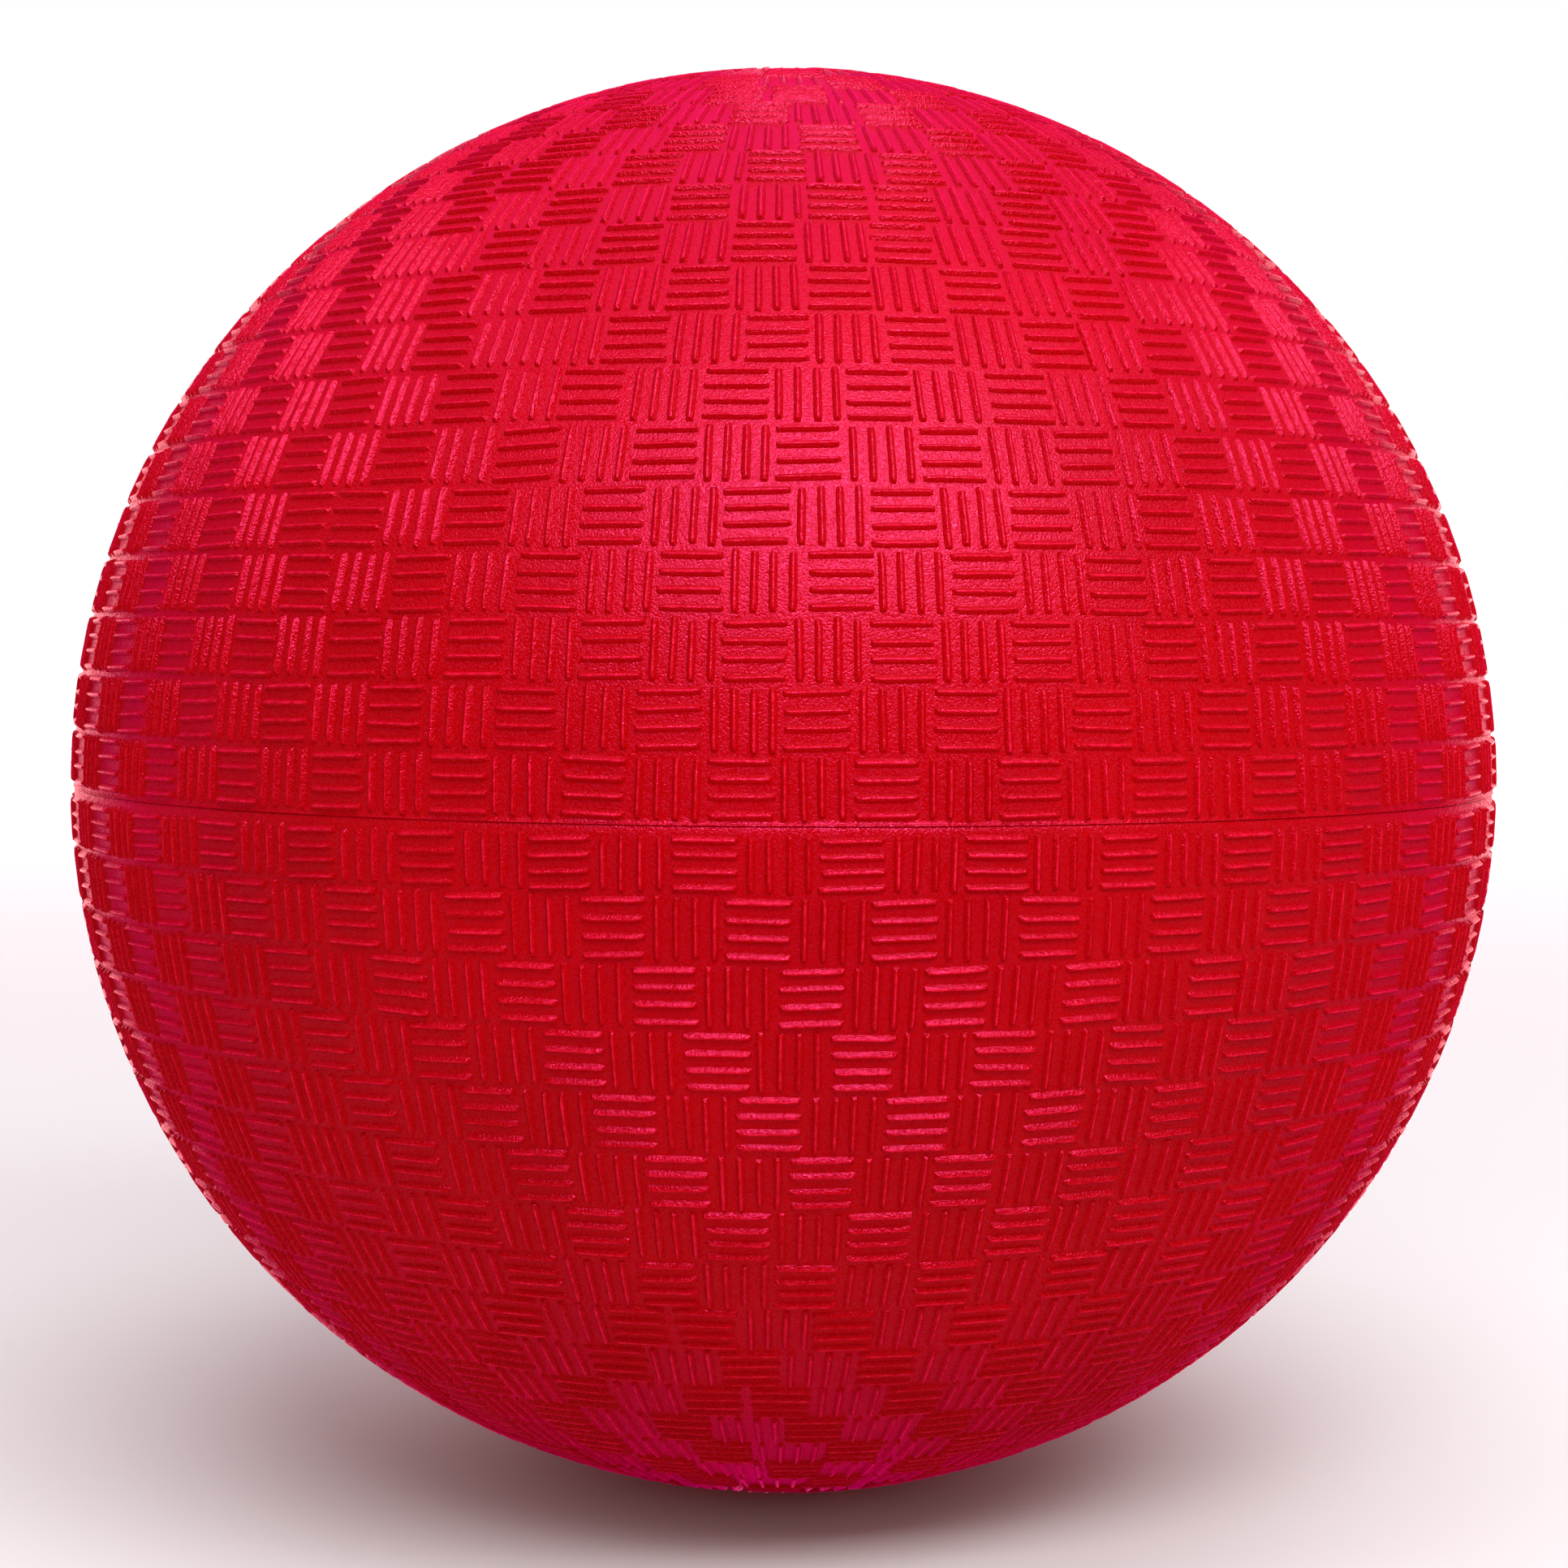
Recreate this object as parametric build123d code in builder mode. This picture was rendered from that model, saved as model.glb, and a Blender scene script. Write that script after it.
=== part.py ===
"""Inflatable rubber playground ball with a moulded basket-weave grip, and its inflation valve.

The origin is the ball's centre, +Z runs out through the valve, and lengths are millimetres.
From the outside in, the wall is a two-piece rubber cover, a nylon thread winding and a butyl bladder,
bonded face to face. The halves of the cover meet at the equator, where the mould leaves a fine bead.
"""

import os
from math import sqrt

from build123d import *

os.makedirs("parts", exist_ok=True)

# Ball and wall, from the outside in
ball_radius = 108.0  # over the ribs: the standard 8.5 inch playground ball
rib_height = 0.65
cover_wall = 1.2  # below the ribs
winding_wall = 0.25
bladder_wall = 0.6
base_radius = ball_radius - rib_height  # the floor between the ribs
cover_inner_radius = base_radius - cover_wall
winding_inner_radius = cover_inner_radius - winding_wall
bladder_inner_radius = winding_inner_radius - bladder_wall

# Grip: rings of tiles, every ring the same angle wide, made here as plain raised bands
row_angle = 4.5
row_gap = 0.5  # between rings, about 1 mm
first_band_above = 0.25  # from the parting plane to the first band of the upper half
first_band_below = 0.55  # and of the lower half
rows_above = 18  # the smooth disc round the valve takes the rest
rows_below = 19
parting_bead_radius = 0.3

# Raised rim on the smooth disc, which keeps wear off the plug
rim_radius = 8.5
rim_width = 1.4
rim_rise = 0.2  # above the smooth disc's middle

# Self-sealing plug, which the inflating needle goes through
plug_head_radius = 4.5
plug_head_length = 1.2
plug_head_edge = 0.3
plug_head_gap = 0.1
plug_shank_radius = 2.5
plug_barb_radius = 3.1
plug_barb_length = 3.5
plug_tip_radius = 1.3
needle_bore_radius = 1.15  # takes the usual 2.1 mm needle
needle_bore_length = 7.0
needle_mouth = 0.4

# Housing that holds the plug, and the patch that spreads its pull over the bladder
patch_radius = 22.0
patch_wall = 0.8
patch_inner_radius = bladder_inner_radius - patch_wall
neck_radius = 6.0
flange_radius = 13.0
flange_edge = 0.8
flange_slope = 0.7
stem_radius = 5.2
stem_tip_radius = 4.0
stem_length = 14.0
housing_bore_radius = plug_shank_radius + 0.02

# Heights on the valve's axis
plug_top = sqrt(base_radius**2 - plug_head_radius**2)
plug_seat = plug_top - plug_head_length
stem_end = patch_inner_radius - stem_length


def band(start, end):
    """Section of one raised ring, between two angles from the equator."""
    with BuildLine() as outline:
        crest = CenterArc((0, 0), ball_radius, start, end - start)
        root = CenterArc((0, 0), base_radius - rib_height, start, end - start)
        Line(crest @ 0, root @ 0)
        Line(crest @ 1, root @ 1)
    make_face(outline.edges())


def cover_section(first_band, rows):
    """Half-section of one cover half: its wall, its rings of tiles and its half of the parting bead."""
    Circle(base_radius)
    with Locations((base_radius, 0)):
        Circle(parting_bead_radius)
    for row in range(rows):
        start = row * row_angle + row_gap / 2 if row else first_band
        band(start, (row + 1) * row_angle - row_gap / 2)
    Circle(cover_inner_radius, mode=Mode.SUBTRACT)
    Rectangle(ball_radius, ball_radius, align=(Align.MIN, Align.MIN), mode=Mode.INTERSECT)


def layer_section(outer_radius, inner_radius):
    """Half-section of a layer that goes all round the ball, open at the top for the housing's neck."""
    Circle(outer_radius)
    Circle(inner_radius, mode=Mode.SUBTRACT)
    Rectangle(ball_radius, 2 * ball_radius, align=(Align.MIN, Align.CENTER), mode=Mode.INTERSECT)
    Rectangle(neck_radius, ball_radius, align=(Align.MIN, Align.MIN), mode=Mode.SUBTRACT)


# Upper half of the cover, with the raised rim and the hole that the plug's head fills
with BuildPart() as cover_upper:
    with BuildSketch(Plane.XZ):
        cover_section(first_band_above, rows_above)
    revolve(axis=Axis.Z)
    with BuildSketch(Plane.XY.offset(cover_inner_radius)):
        Circle(rim_radius)
        Circle(rim_radius - rim_width, mode=Mode.SUBTRACT)
    extrude(amount=cover_wall + rim_rise)
    with BuildSketch(Plane.XY.offset(plug_seat - cover_wall)):
        Circle(plug_head_radius + plug_head_gap)
    extrude(amount=3 * cover_wall, mode=Mode.SUBTRACT)
cover_upper.part.label = "cover_upper"
export_step(cover_upper.part, "parts/cover_upper.step")

# Lower half of the cover: one more ring of tiles towards a small smooth pole
with BuildPart() as cover_lower:
    with BuildSketch(Plane.XZ):
        cover_section(first_band_below, rows_below)
    revolve(axis=Axis.Z)
    mirror(about=Plane.XY, mode=Mode.REPLACE)
cover_lower.part.label = "cover_lower"
export_step(cover_lower.part, "parts/cover_lower.step")

# Nylon thread wound round the bladder in every direction, as the thin shell that it fills
with BuildPart() as nylon_winding:
    with BuildSketch(Plane.XZ):
        layer_section(cover_inner_radius, winding_inner_radius)
    revolve(axis=Axis.Z)
nylon_winding.part.label = "nylon_winding"
export_step(nylon_winding.part, "parts/nylon_winding.step")

# Butyl bladder that holds the air
with BuildPart() as bladder:
    with BuildSketch(Plane.XZ):
        layer_section(winding_inner_radius, bladder_inner_radius)
    revolve(axis=Axis.Z)
bladder.part.label = "bladder"
export_step(bladder.part, "parts/bladder.step")

# Patch bonded inside the bladder, round the housing's neck
with BuildPart() as valve_patch:
    with BuildSketch(Plane.XZ):
        layer_section(bladder_inner_radius, patch_inner_radius)
        Rectangle(patch_radius, ball_radius, align=(Align.MIN, Align.MIN), mode=Mode.INTERSECT)
    revolve(axis=Axis.Z)
valve_patch.part.label = "valve_patch"
export_step(valve_patch.part, "parts/valve_patch.step")

# Valve housing: a neck up to the cover, a flange under the patch and a tapered stem into the ball
flange_rim = sqrt(patch_inner_radius**2 - flange_radius**2)
with BuildPart() as valve_housing:
    with BuildSketch(Plane.XZ):
        with BuildLine():
            Polyline(
                (0, patch_inner_radius),
                (flange_radius, patch_inner_radius),
                (flange_radius, flange_rim - flange_edge),
                (stem_radius, flange_rim - flange_edge - flange_slope),
                (stem_tip_radius, stem_end),
                (0, stem_end),
                close=True,
            )
        make_face()
        Circle(patch_inner_radius, mode=Mode.INTERSECT)
        with Locations((0, flange_rim)):
            Rectangle(neck_radius, plug_seat - flange_rim, align=(Align.MIN, Align.MIN))
        Circle(cover_inner_radius, mode=Mode.INTERSECT)
        Rectangle(housing_bore_radius, ball_radius, align=(Align.MIN, Align.MIN), mode=Mode.SUBTRACT)
    revolve(axis=Axis.Z)
valve_housing.part.label = "valve_housing"
export_step(valve_housing.part, "parts/valve_housing.step")

# Plug: a head that fills the cover's hole, a needle bore closed below, and a barb past the stem's end
with BuildPart() as valve_plug:
    with BuildSketch(Plane.XZ):
        with BuildLine():
            Polyline(
                (needle_bore_radius + needle_mouth, plug_top),
                (plug_head_radius - plug_head_edge, plug_top),
                (plug_head_radius, plug_top - plug_head_edge),
                (plug_head_radius, plug_seat),
                (plug_shank_radius, plug_seat),
                (plug_shank_radius, stem_end),
                (plug_barb_radius, stem_end),
                (plug_tip_radius, stem_end - plug_barb_length),
                (0, stem_end - plug_barb_length),
                (0, plug_top - needle_bore_length),
                (needle_bore_radius, plug_top - needle_bore_length),
                (needle_bore_radius, plug_top - needle_mouth),
                close=True,
            )
        make_face()
    revolve(axis=Axis.Z)
valve_plug.part.label = "valve_plug"
export_step(valve_plug.part, "parts/valve_plug.step")
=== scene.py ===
"""Looks of the inflatable rubber playground ball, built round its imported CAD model.

Metres throughout. The ball's centre is the origin, the valve is at +Z and the camera looks along +Y.
Angles on the ball are a latitude from the parting plane and a longitude east of the front meridian, -Y.
"""

import math
import random

import bpy
import numpy as np
from mathutils import Matrix, Vector
from mathutils.geometry import delaunay_2d_cdt


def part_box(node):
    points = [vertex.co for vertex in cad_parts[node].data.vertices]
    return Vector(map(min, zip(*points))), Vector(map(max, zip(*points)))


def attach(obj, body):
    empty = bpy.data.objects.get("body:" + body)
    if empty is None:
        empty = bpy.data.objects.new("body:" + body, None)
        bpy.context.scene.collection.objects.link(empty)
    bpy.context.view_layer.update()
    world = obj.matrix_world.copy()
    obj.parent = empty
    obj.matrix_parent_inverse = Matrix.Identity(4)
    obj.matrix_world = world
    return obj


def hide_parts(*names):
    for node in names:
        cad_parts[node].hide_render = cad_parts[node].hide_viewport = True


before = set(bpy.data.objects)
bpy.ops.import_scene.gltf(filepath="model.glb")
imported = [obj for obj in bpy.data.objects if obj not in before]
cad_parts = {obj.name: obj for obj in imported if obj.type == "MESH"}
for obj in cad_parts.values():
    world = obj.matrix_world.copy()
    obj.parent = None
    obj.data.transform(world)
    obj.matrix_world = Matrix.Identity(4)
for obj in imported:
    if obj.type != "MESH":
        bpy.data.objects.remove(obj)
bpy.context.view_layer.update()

MM = 0.001
ball_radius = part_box("cover_upper")[1].x
cover_inner_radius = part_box("nylon_winding")[1].x
hole_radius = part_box("valve_plug")[1].x + 0.1 * MM
ball_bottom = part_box("cover_lower")[0].z

# Grip pattern: rings of tiles, four ribs to a tile, standing on the floor between them
rib_height = 0.65 * MM
base_radius = ball_radius - rib_height
ring_angle = math.radians(4.5)
equator_tiles = 76
ribs_per_tile = 4
rib_pitch = 0.262  # from rib to rib, as a share of the tile
rib_half_width = 0.54 * MM
rib_reach_across = 0.45  # half the length of a rib that runs across, as a share of the tile's width
rib_reach_upright = 0.465  # and of one that runs up and down, as a share of the tile's depth
crest_share = 0.88  # height of the crest's edges, as a share of the rib's
end_share = 0.93  # width of the foot at the end slopes, as a share of the rib's
upper_start = math.radians(0.17)  # latitude where the upper half's first tiles begin
lower_start = math.radians(0.55)  # and the lower half's

# Parting line, and how finely the turned parts are divided
bead_reach = 0.24 * MM  # how far the upper half's bead stands out of the floor
groove_depth = 0.14 * MM  # of the lower half's groove under it
bead_height = 0.18 * MM  # along the axis, of each of them
edge_latitude = math.radians(0.12)  # where they end and the floor begins
edge_count = 300  # points round the parting plane
turn_count = 72  # points round the smooth discs and the wall's inside

# Each ring of tiles, from the parting plane: where its middle crosswise tile sits, in degrees of arc east
# of the front, and then the tiles, counted from it, past which the checker slips and two run alike.
UPPER_RINGS = [
    (-2.8,), (2.2,), (-1.8,), (3.5,), (-1.8, -7), (1.6,), (-3.3,), (-0.5, -4), (3.5, 6),
    (-1.4, -6), (3.5, 1), (-0.5, -5), (3.0,), (-2.0,), (1.0, -1), (5.2,), (0.4,), (3.6,),
]
LOWER_RINGS = [
    (-5.0,), (-1.5,), (1.9,), (-4.2,), (-0.7,), (2.7, -8), (-2.9,), (1.7,), (4.4, -3), (-2.0,),
    (0.0, -1), (2.5,), (5.4,), (1.25,), (4.0,), (-0.6,), (3.1,), (-1.0,), (0.8,),
]


# ---------------------------------------------------------------- shader nodes


class Graph:
    """Shader nodes, made one line each. place is where a point lies on the object, or a ray's direction."""

    def __init__(self, tree, coordinates):
        self.tree = tree
        self.place = self.add("TexCoord").outputs[coordinates]

    def add(self, kind, inputs=(), **settings):
        node = self.tree.nodes.new("ShaderNode" + kind)
        for name, value in settings.items():
            setattr(node, name, value)
        self.set(node, dict(inputs))
        return node

    def set(self, node, inputs):
        for name, value in inputs.items():
            self.fill(node.inputs[name], value)

    def fill(self, socket, value):
        if isinstance(value, bpy.types.NodeSocket):
            self.tree.links.new(value, socket)
        else:
            socket.default_value = value

    def noise(self, size, detail):
        """Noise from 0 to 1 with features about this many metres across."""
        inputs = {"Vector": self.place, "Scale": 1 / size, "Detail": detail}
        return self.add("TexNoise", inputs).outputs["Fac"]

    def spread(self, value, low, high, start=0.0, end=1.0):
        """The value, which goes from low to high, brought to start to end."""
        inputs = {"Value": value, "From Min": low, "From Max": high, "To Min": start, "To Max": end}
        return self.add("MapRange", inputs).outputs["Result"]

    def math(self, operation, a, b):
        return self.add("Math", {0: a, 1: b}, operation=operation).outputs["Value"]

    def blend(self, share, a, b):
        """Colour a where share is 0 and b where it is 1."""
        node = self.add("Mix", data_type="RGBA")
        colours = [socket for socket in node.inputs if socket.type == "RGBA"]
        self.fill(node.inputs["Factor"], share)
        self.fill(colours[0], a)
        self.fill(colours[1], b)
        return next(socket for socket in node.outputs if socket.type == "RGBA")

    def choose(self, share, a, b):
        """Number a where share is 0 and b where it is 1."""
        return self.add("Mix", {"Factor": share, "A": a, "B": b}).outputs["Result"]

    def bump(self, height, distance, after=None):
        inputs = {"Height": height, "Distance": distance, "Strength": 1.0}
        if after:
            inputs["Normal"] = after
        return self.add("Bump", inputs).outputs["Normal"]


def new_material(name):
    """A material, its nodes and its shader."""
    material = bpy.data.materials.new(name)
    material.use_nodes = True
    return material, Graph(material.node_tree, "Object"), material.node_tree.nodes["Principled BSDF"]


# ---------------------------------------------------------------- camera, light and floor


def make_camera():
    """The photograph's view: from 3 degrees up, with the ball almost filling the frame."""
    ball_share = 0.91  # of the frame's width
    distance = 4.25 * ball_radius
    half_angle = math.asin(ball_radius / distance)
    data = bpy.data.cameras.new("camera")
    data.sensor_width = 36
    data.lens = data.sensor_width * ball_share / 2 / math.tan(half_angle)
    data.clip_start = 0.01
    camera = bpy.data.objects.new("camera", data)
    bpy.context.scene.collection.objects.link(camera)
    elevation = math.radians(3.0)
    roll = math.radians(0.3)
    aim = Vector((0.1 * MM, 0, -0.6 * MM))
    back = Vector((0, -math.cos(elevation), math.sin(elevation)))
    turn = (-back).to_track_quat("-Z", "Y").to_matrix().to_4x4() @ Matrix.Rotation(roll, 4, "Z")
    camera.matrix_world = Matrix.Translation(aim + back * distance) @ turn
    bpy.context.scene.camera = camera


def softbox(name, place, size, power, mirrored=None):
    """A rectangular light that faces the ball. One with a mirrored colour is only seen in the gloss."""
    data = bpy.data.lights.new(name, "AREA")
    data.shape = "RECTANGLE"
    data.size, data.size_y = size
    data.energy = power
    data.color = mirrored or (1, 1, 1)
    lamp = bpy.data.objects.new(name, data)
    bpy.context.scene.collection.objects.link(lamp)
    lamp.location = place
    lamp.rotation_mode = "QUATERNION"
    lamp.rotation_quaternion = (-Vector(place)).to_track_quat("-Z", "Y")
    lamp.visible_glossy = mirrored is not None
    lamp.visible_diffuse = mirrored is None


def make_light():
    """Three softboxes that light the ball and aren't mirrored, and a pale strip that is only mirrored."""
    softbox("key", (0.27, -0.78, 0.74), (1.1, 0.34), 9.6)
    softbox("front", (0.25, -1.3, 0.2), (1.4, 0.9), 2.6)
    softbox("top", (0.1, -0.3, 1.2), (1.1, 0.5), 4.0)
    softbox("strip", (0.12, -0.75, 0.74), (1.0, 0.10), 20.0, mirrored=(0.85, 1.35, 1.6))


def make_world():
    """A studio that is white to the camera, and grey below to white above as soft light. The rubber mirrors
    reddish surroundings, a pink ceiling, and a paler backdrop at the ball's own level."""
    world = bpy.data.worlds.new("studio")
    world.use_nodes = True
    g = Graph(world.node_tree, "Generated")
    direction = g.add("SeparateXYZ", {"Vector": g.place})
    up, away = direction.outputs["Z"], direction.outputs["Y"]
    white = (1, 1, 1, 1)
    near_side = (0.3, 0.0, 0.04, 1)
    far_side = (1.2, 0.0, 0.3, 1)
    ceiling = (2.9, 0.1, 1.4, 1)
    backdrop = (4.2, 1.4, 1.5, 1)
    near_level = g.spread(g.math("ABSOLUTE", up, 0.0), 0.15, 0.45, 1.0, 0.0)
    on_backdrop = g.math("MULTIPLY", g.spread(away, 0.78, 0.87), near_level)
    mirrored = g.blend(g.spread(away, -0.2, 0.6), near_side, far_side)
    mirrored = g.blend(g.spread(up, 0.5, 0.95), mirrored, ceiling)
    mirrored = g.blend(on_backdrop, mirrored, backdrop)
    ray = g.add("LightPath")
    light = g.choose(ray.outputs["Is Glossy Ray"], g.spread(up, 0.0, 0.9, 0.12, 0.9), 1.0)
    light = g.choose(ray.outputs["Is Camera Ray"], light, 1.0)
    colour = g.blend(ray.outputs["Is Glossy Ray"], white, mirrored)
    background = world.node_tree.nodes["Background"]
    g.set(background, {"Color": colour, "Strength": light})
    world.cycles.sampling_method = "NONE"  # sampled as a lamp, it would look the same to every kind of ray
    bpy.context.scene.world = world


def make_floor():
    """A pale floor, which glows towards white far from the ball. The rubber doesn't mirror it."""
    half = 30.0
    corners = [(-half, -half, 0), (half, -half, 0), (half, half, 0), (-half, half, 0)]
    mesh = bpy.data.meshes.new("floor")
    mesh.from_pydata(corners, [], [(0, 1, 2, 3)])
    floor = bpy.data.objects.new("floor", mesh)
    bpy.context.scene.collection.objects.link(floor)
    floor.location.z = ball_bottom
    floor.visible_glossy = False
    material, g, shader = new_material("floor")
    reach = g.add("VectorMath", {0: g.place}, operation="LENGTH").outputs["Value"]
    g.set(shader, {"Base Color": (0.80, 0.80, 0.80, 1), "Roughness": 0.9, "Emission Color": (1, 1, 1, 1)})
    g.set(shader, {"Emission Strength": g.spread(reach, 0.3, 2.0, 0.0, 0.7)})
    mesh.materials.append(material)


# ---------------------------------------------------------------- grip pattern


class Mesh:
    """Points and faces of one piece, and the edges that stay sharp."""

    def __init__(self):
        self.points = []
        self.faces = []
        self.sharp = []

    def add(self, points):
        """Adds points and returns the index of the first."""
        first = len(self.points)
        self.points.extend(points)
        return first

    def ring(self, radius, height, count):
        """Adds a level ring of points and returns their indices. radius may be a function of the angle."""
        size = radius if callable(radius) else lambda angle: radius
        angles = [2 * math.pi * step / count for step in range(count)]
        first = self.add([(size(a) * math.sin(a), -size(a) * math.cos(a), height) for a in angles])
        return list(range(first, first + count))

    def bridge(self, near, far):
        """Joins two rings, whose counts may differ. A ring of one point closes the surface in a fan."""
        i = j = 0
        while i < len(near) or j < len(far):
            a, b = near[i % len(near)], near[(i + 1) % len(near)]
            c, d = far[j % len(far)], far[(j + 1) % len(far)]
            if len(near) == len(far):
                self.faces.append((a, b, d, c))
                i, j = i + 1, j + 1
            elif j == len(far) or (i < len(near) and (i + 1) * len(far) <= (j + 1) * len(near)):
                if a != b:
                    self.faces.append((a, b, c))
                i += 1
            else:
                if c != d:
                    self.faces.append((a, d, c))
                j += 1

    def crease(self, ring):
        """Keeps a ring's edges sharp."""
        self.sharp.extend(zip(ring, ring[1:] + ring[:1]))

    def lathe(self, rings):
        """Joins each ring to the next."""
        for near, far in zip(rings, rings[1:]):
            self.bridge(near, far)

    def piece(self, name, below=False):
        """Makes the object, upside down where it belongs below the parting plane."""
        points = [(x, y, -z) for x, y, z in self.points] if below else self.points
        faces = [face[::-1] for face in self.faces] if below else self.faces
        mesh = bpy.data.meshes.new(name)
        mesh.from_pydata(points, [], faces)
        mesh.shade_smooth()
        mark_sharp(mesh, self.sharp)
        obj = bpy.data.objects.new(name, mesh)
        bpy.context.scene.collection.objects.link(obj)
        return obj


def mark_sharp(mesh, pairs):
    """Marks the edges between these pairs of points sharp."""
    count = len(mesh.vertices)
    ends = np.empty(2 * len(mesh.edges), np.int64)
    mesh.edges.foreach_get("vertices", ends)
    ends = np.sort(ends.reshape(-1, 2), axis=1)
    wanted = np.sort(np.array(pairs, np.int64), axis=1)
    chosen = np.isin(ends[:, 0] * count + ends[:, 1], wanted[:, 0] * count + wanted[:, 1])
    mark = mesh.attributes.get("sharp_edge") or mesh.attributes.new("sharp_edge", "BOOLEAN", "EDGE")
    mark.data.foreach_set("value", chosen)


# One rib, seen from above: stations along it, each a row of five points across it, then four end corners.
STATIONS = 4
ACROSS = 5
FIRST_LEFT, FIRST_RIGHT, LAST_LEFT, LAST_RIGHT = range(STATIONS * ACROSS, STATIONS * ACROSS + 4)
RIB_POINTS = STATIONS * ACROSS + 4


def rib_topology():
    """Faces of a rib, its foot as a loop, and its sharp edges: the foot and the edges of the end slopes."""
    faces = []
    for station in range(STATIONS - 1):
        for column in range(ACROSS - 1):
            near = station * ACROSS + column
            far = near + ACROSS
            faces.append((near, far, far + 1, near + 1))
    last = (STATIONS - 1) * ACROSS
    faces += [(FIRST_LEFT, 0, 1), (FIRST_LEFT, 1, 2), (FIRST_LEFT, 2, FIRST_RIGHT)]
    faces += [(FIRST_RIGHT, 2, 3), (FIRST_RIGHT, 3, 4)]
    faces += [(last, LAST_LEFT, last + 1), (last + 1, LAST_LEFT, last + 2)]
    faces += [(last + 2, LAST_LEFT, LAST_RIGHT)]
    faces += [(last + 2, LAST_RIGHT, last + 3), (last + 3, LAST_RIGHT, last + 4)]
    left = [station * ACROSS for station in range(STATIONS)]
    right = [foot + ACROSS - 1 for foot in left]
    foot = [FIRST_LEFT, *left, LAST_LEFT, LAST_RIGHT, *reversed(right), FIRST_RIGHT]
    sharp = list(zip(foot, foot[1:] + foot[:1]))
    sharp += [(FIRST_LEFT, 1), (1, 2), (2, 3), (3, FIRST_RIGHT)]
    sharp += [(LAST_LEFT, last + 1), (last + 1, last + 2), (last + 2, last + 3), (last + 3, LAST_RIGHT)]
    return faces, foot, sharp


RIB_FACES, RIB_FOOT, RIB_SHARP = rib_topology()


def rib_shape(draw, half_length):
    """Points of one rib as (along, across, height): a ridge with a narrow round crest and sloped ends."""
    half_width = draw.gauss(rib_half_width, 0.025 * MM)
    height = min(draw.gauss(rib_height - 0.05 * MM, 0.025 * MM), rib_height)
    crest = draw.uniform(0.11, 0.16) * MM
    start = -half_length + draw.uniform(0.28, 0.42) * MM
    end = half_length - draw.uniform(0.28, 0.42) * MM
    shoulder = draw.uniform(0.7, 1.3) * MM
    points = []
    for along, full in ((start, False), (start + shoulder, True), (end - shoulder, True), (end, False)):
        shift = draw.gauss(0, 0.028) * MM
        top = height - (0 if full else draw.uniform(0.05, 0.12) * MM)
        foot = half_width * (1 if full else end_share)
        points += [
            (along, shift - foot, 0),
            (along, shift - crest, top * crest_share),
            (along, shift, top),
            (along, shift + crest, top * crest_share),
            (along, shift + foot, 0),
        ]
    for tip in (-half_length, half_length):
        corner = half_width * draw.uniform(0.55, 0.75)
        points += [(tip, -corner, 0), (tip, corner, 0)]
    return points


def tile_ribs(draw, across_ring, width, depth, rise):
    """Ribs of one tile as lists of (east, outward, height), kept inside a cell of that width and depth."""
    half_length = width * rib_reach_across if across_ring else depth * rib_reach_upright
    pitch = (depth if across_ring else width) * rib_pitch
    slip = (draw.gauss(0, 0.16) * MM, draw.gauss(0, 0.06) * MM)
    tilt = draw.gauss(0.012 * rise, 0.016) if across_ring else draw.gauss(0, 0.010)
    limit = (width / 2 - 0.06 * MM, depth / 2 - 0.05 * MM)
    ribs = []
    for index in range(ribs_per_tile):
        offset = (index - (ribs_per_tile - 1) / 2) * pitch + draw.gauss(0, 0.05) * MM
        turn = tilt + draw.gauss(0, 0.006)
        reach = half_length + draw.gauss(0, 0.10) * MM
        start = draw.gauss(0, 0.07) * MM
        rib = []
        for along, across, height in rib_shape(draw, reach):
            along += start
            across += offset + along * turn
            east, outward = (along, across) if across_ring else (-across, along)
            east = max(-limit[0], min(limit[0], east + slip[0]))
            outward = max(-limit[1], min(limit[1], outward + slip[1]))
            rib.append((east, outward, height))
        ribs.append(rib)
    return ribs


def on_ball(latitude, longitude, radius):
    level = radius * math.cos(latitude)
    return (level * math.sin(longitude), -level * math.cos(longitude), radius * math.sin(latitude))


def on_chart(latitude, longitude):
    """The half ball laid flat round its pole, on which the floor between the ribs is meshed."""
    reach = math.pi / 2 - latitude
    return Vector((reach * math.cos(longitude), reach * math.sin(longitude)))


def ring_of(mesh, chart, latitude, count, radius):
    """Adds a level ring of points and returns their indices."""
    angles = [2 * math.pi * step / count for step in range(count)]
    first = mesh.add([on_ball(latitude, angle, radius) for angle in angles])
    chart.extend(on_chart(latitude, angle) for angle in angles)
    return list(range(first, first + count))


def add_rib(mesh, chart, rib, latitude, longitude):
    """Adds a rib, whose tile has its middle at that place, and returns the index of its first point."""
    scale = base_radius * math.cos(latitude)
    places = [(latitude + out / base_radius, longitude + east / scale) for east, out, up in rib]
    radii = [base_radius + up for east, out, up in rib]
    first = mesh.add([on_ball(*place, radius) for place, radius in zip(places, radii)])
    chart.extend(on_chart(*place) for place in places)
    mesh.faces.extend(tuple(first + index for index in face) for face in RIB_FACES)
    mesh.sharp.extend((first + a, first + b) for a, b in RIB_SHARP)
    return first


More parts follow.
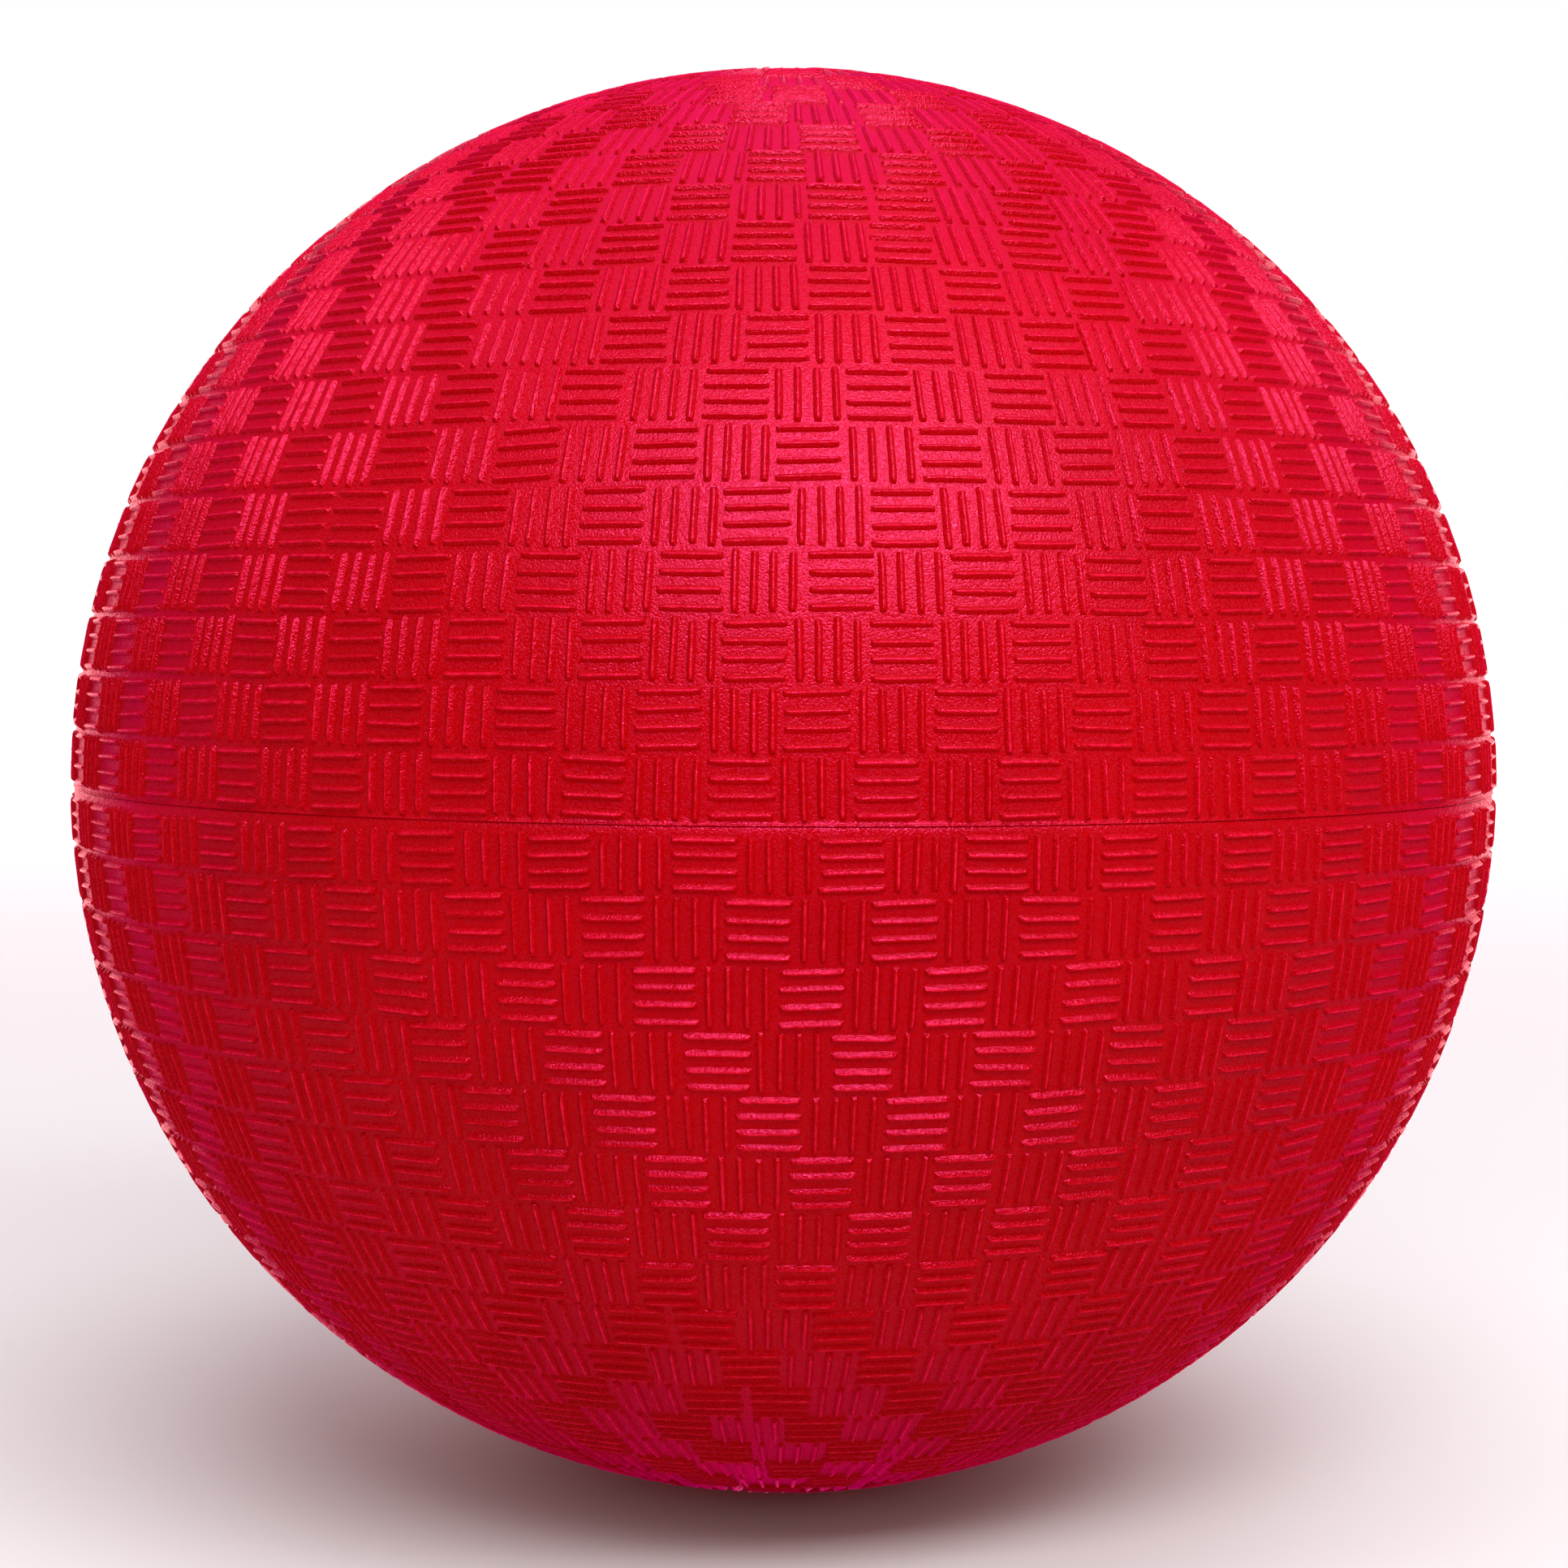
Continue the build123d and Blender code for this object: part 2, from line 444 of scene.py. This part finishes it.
def grip(mesh, draw, rings, first_latitude, rise):
    """Ribs of one half and the floor between them. Returns the ring of points at the parting line and the
    one at the pole. rise is the sign of the lean that crosswise ribs have in common."""
    chart = []
    edge = ring_of(mesh, chart, edge_latitude, edge_count, base_radius)
    pole = ring_of(mesh, chart, len(rings) * ring_angle, turn_count, base_radius)
    loops = [edge, pole]
    owner = [0] * edge_count + [1] * turn_count
    for number, (middle, *slips) in enumerate(rings):
        low = number * ring_angle if number else first_latitude
        high = (number + 1) * ring_angle
        latitude = (low + high) / 2
        tiles = round(equator_tiles * math.cos((number + 0.5) * ring_angle))
        step = 2 * math.pi / tiles
        width = step * base_radius * math.cos(latitude)
        depth = (high - low) * base_radius
        centre = math.radians(middle) / math.cos(latitude)
        for tile in range(-(tiles // 2), tiles - tiles // 2):
            slipped = sum(1 for slip in slips if tile * slip > 0 and abs(tile) >= abs(slip))
            across_ring = (tile + slipped) % 2 == 0
            for rib in tile_ribs(draw, across_ring, width, depth, rise):
                first = add_rib(mesh, chart, rib, latitude, centre + tile * step)
                loops.append([first + index for index in RIB_FOOT])
                owner += [len(loops) - 1] * RIB_POINTS
    lay_floor(mesh, chart, loops, owner)
    return edge, pole


def lay_floor(mesh, chart, loops, owner):
    """Fills between the loops with triangles, none of them inside a rib's foot or the pole's ring."""
    used = [index for loop in loops for index in loop]
    place = {index: number for number, index in enumerate(used)}
    edges = [(place[a], place[b]) for loop in loops for a, b in zip(loop, loop[1:] + loop[:1])]
    smallest = 1e-9
    _, _, triangles, origins, _, _ = delaunay_2d_cdt([chart[i] for i in used], edges, [], 0, smallest)
    source = [used[origin[0]] for origin in origins]
    for triangle in triangles:
        corners = [source[index] for index in triangle]
        owners = {owner[index] for index in corners}
        if len(owners) > 1 or owners == {0}:
            mesh.faces.append(tuple(corners))


# ---------------------------------------------------------------- the two halves of the cover


def floor_height(radius, rise):
    """Height above the parting plane at this distance from the axis, rise above the grip's floor."""
    return math.sqrt(base_radius**2 - radius**2) + rise


def turned(mesh, profile):
    """Rings on the outside of the ball from (radius, rise above the floor) pairs in millimetres."""
    places = [(radius * MM, floor_height(radius * MM, rise * MM)) for radius, rise in profile]
    return [mesh.ring(radius, height, turn_count) for radius, height in places]


def wavering(waves, reach):
    """A radius that stands about this far out of the floor and wavers round the ball."""

    def radius(turn):
        waver = sum(math.sin(count * turn + phase) for count, phase in waves)
        return base_radius + reach * (0.8 + 0.04 * waver)

    return radius


def wall_inside(mesh, start_radius):
    """Rings on the inside of the wall, from the axis or the valve's hole to the parting plane."""
    steps = 20
    start = math.asin(start_radius / cover_inner_radius)
    rings = []
    for step in range(steps + 1):
        angle = start + (math.pi / 2 - start) * step / steps
        count = turn_count if angle > 0 else 1
        height = cover_inner_radius * math.cos(angle)
        rings.append(mesh.ring(cover_inner_radius * math.sin(angle), height, count))
    return rings


def close_at_parting(mesh, draw, inside, edge, reach):
    """The flat parting face, and the bead between it and the floor, or a groove where reach is below 0."""
    waves = [(count, draw.uniform(0, 2 * math.pi)) for count in (3, 7, 16, 29, 47)]
    bead = []
    for degrees in (0, 30, 60):
        angle = math.radians(degrees)
        outline = wavering(waves, reach * math.cos(angle))
        bead.append(mesh.ring(outline, bead_height * math.sin(angle), edge_count))
    mesh.lathe([inside, *bead, edge])
    mesh.crease(inside)
    mesh.crease(bead[0])


def cover_upper():
    """Upper half, with the smooth disc, its border and the raised rim round the plug."""
    mesh = Mesh()
    draw = random.Random(7)
    edge, pole = grip(mesh, draw, UPPER_RINGS, upper_start, 1)
    border = [(15.7, 0), (15.5, 0.16), (15.2, 0.2), (14.9, 0.16), (14.7, 0)]
    rim = [(8.6, 0), (8.45, 0.22), (8.15, 0.42), (7.8, 0.48), (7.45, 0.42), (7.15, 0.22), (7.0, 0)]
    disc = turned(mesh, border + [(11.5, 0)] + rim + [(5.6, 0), (4.85, -0.02)])
    mouth = mesh.ring(hole_radius, floor_height(hole_radius, -0.15 * MM), turn_count)
    inside = wall_inside(mesh, hole_radius)
    mesh.lathe([pole, *disc, mouth, *inside])
    mesh.crease(mouth)
    mesh.crease(inside[0])
    close_at_parting(mesh, draw, inside[-1], edge, bead_reach)
    return mesh.piece("cover_upper_grip")


def cover_lower():
    """Lower half, built upright and turned over, with a small smooth pole."""
    mesh = Mesh()
    draw = random.Random(11)
    edge, pole = grip(mesh, draw, LOWER_RINGS, lower_start, -1)
    border = [(7.6, 0), (7.3, 0.12), (7.0, 0.12), (6.7, 0)]
    disc = turned(mesh, border + [(3.6, 0), (2.2, 0), (1.7, -0.12), (0.8, -0.16)])
    tip = mesh.ring(0, floor_height(0, -0.17 * MM), 1)
    inside = wall_inside(mesh, 0)
    mesh.lathe([pole, *disc, tip])
    mesh.lathe(inside)
    close_at_parting(mesh, draw, inside[-1], edge, -groove_depth)
    return mesh.piece("cover_lower_grip", below=True)


# ---------------------------------------------------------------- materials


def cover_rubber():
    """Satin red rubber with a fine grain whose gloss is speckled, and smooth crests with painted light: a
    paler, pinker colour in patches that stands in for the light the thin crests catch and let through.
    """
    material, g, shader = new_material("cover_rubber")
    out = g.add("VectorMath", {0: g.place}, operation="LENGTH").outputs["Value"]
    on_rib = g.spread(out, base_radius + 0.02 * MM, base_radius + 0.15 * MM)
    on_crest = g.spread(out, base_radius + 0.48 * MM, base_radius + 0.57 * MM)
    grain = g.noise(0.30 * MM, 1.0)
    pores = g.noise(0.9 * MM, 2.0)
    patches = g.noise(35 * MM, 2.0)
    tone = g.blend(g.spread(patches, 0.35, 0.65), (0.36, 0.0003, 0.0006, 1), (0.41, 0.0005, 0.0010, 1))
    speckled = g.blend(g.spread(grain, 0.42, 0.60, 0, 0.3), tone, (0.31, 0.0001, 0.0004, 1))
    # Painted light: a paler, pinker colour in patches on the crests, standing in for the light that thin
    # crests catch and let through
    crest_painted_light = g.math("MULTIPLY", on_crest, g.spread(pores, 0.35, 0.65, 0.2, 0.9))
    colour = g.blend(crest_painted_light, speckled, (0.70, 0.009, 0.040, 1))
    on_floor = g.spread(grain, 0.40, 0.60, 0.16, 0.50)
    on_side = g.spread(grain, 0.40, 0.60, 0.40, 0.14)
    roughness = g.choose(on_rib, on_floor, g.choose(on_crest, on_side, 0.14))
    relief = g.math("MULTIPLY", grain, g.spread(on_rib, 0, 1, 1.0, 1.2))
    normal = g.bump(relief, 0.12 * MM, after=g.bump(pores, 0.05 * MM))
    g.set(shader, {"Base Color": colour, "Roughness": roughness, "Normal": normal})
    g.set(shader, {"Specular IOR Level": 0.7, "Specular Tint": (1.0, 0.04, 0.16, 1)})
    return material


def black_rubber(name, base, roughness):
    """Plain dark rubber with moulding grain and talc dust, for the valve and the inside."""
    material, g, shader = new_material(name)
    grain = g.noise(0.35 * MM, 3.0)
    dust = g.noise(3 * MM, 4.0)
    dusty = [2.2 * part + 0.02 for part in base]
    g.set(shader, {"Base Color": g.blend(g.spread(dust, 0.5, 0.8, 0, 0.6), (*base, 1), (*dusty, 1))})
    g.set(shader, {"Roughness": g.spread(dust, 0.3, 0.7, roughness - 0.08, roughness + 0.1)})
    g.set(shader, {"Normal": g.bump(grain, 0.03 * MM)})
    return material


def nylon_thread():
    """Off-white thread wound in several directions, under a film of cement."""
    material, g, shader = new_material("nylon_thread")
    height = None
    for turn in ((0.0, 0.0, 0.0), (1.1, 0.3, 0.0), (-0.7, 0.9, 0.0)):
        placed = g.add("Mapping", {"Vector": g.place, "Rotation": turn}).outputs["Vector"]
        settings = {"Vector": placed, "Scale": 1 / (2.4 * MM), "Distortion": 1.5, "Detail": 1.0}
        threads = g.add("TexWave", settings).outputs["Fac"]
        height = g.math("MAXIMUM", height, threads) if height else threads
    g.set(shader, {"Base Color": g.blend(height, (0.42, 0.36, 0.26, 1), (0.80, 0.77, 0.68, 1))})
    g.set(shader, {"Roughness": g.spread(height, 0, 1, 0.7, 0.5), "Normal": g.bump(height, 0.1 * MM)})
    return material


def dress(obj, material):
    obj.data.materials.clear()
    obj.data.materials.append(material)


# ---------------------------------------------------------------- the scene

make_camera()
bpy.context.scene.view_settings.view_transform = "Standard"
make_light()
make_world()
make_floor()

rubber = cover_rubber()
for cover, node in ((cover_upper(), "cover_upper"), (cover_lower(), "cover_lower")):
    dress(cover, rubber)
    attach(cover, "root")
    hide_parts(node)

butyl = black_rubber("butyl_rubber", (0.020, 0.020, 0.022), 0.62)
for node in ("bladder", "valve_patch", "valve_housing"):
    dress(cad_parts[node], butyl)
dress(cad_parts["nylon_winding"], nylon_thread())
dress(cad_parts["valve_plug"], black_rubber("valve_rubber", (0.035, 0.034, 0.035), 0.45))
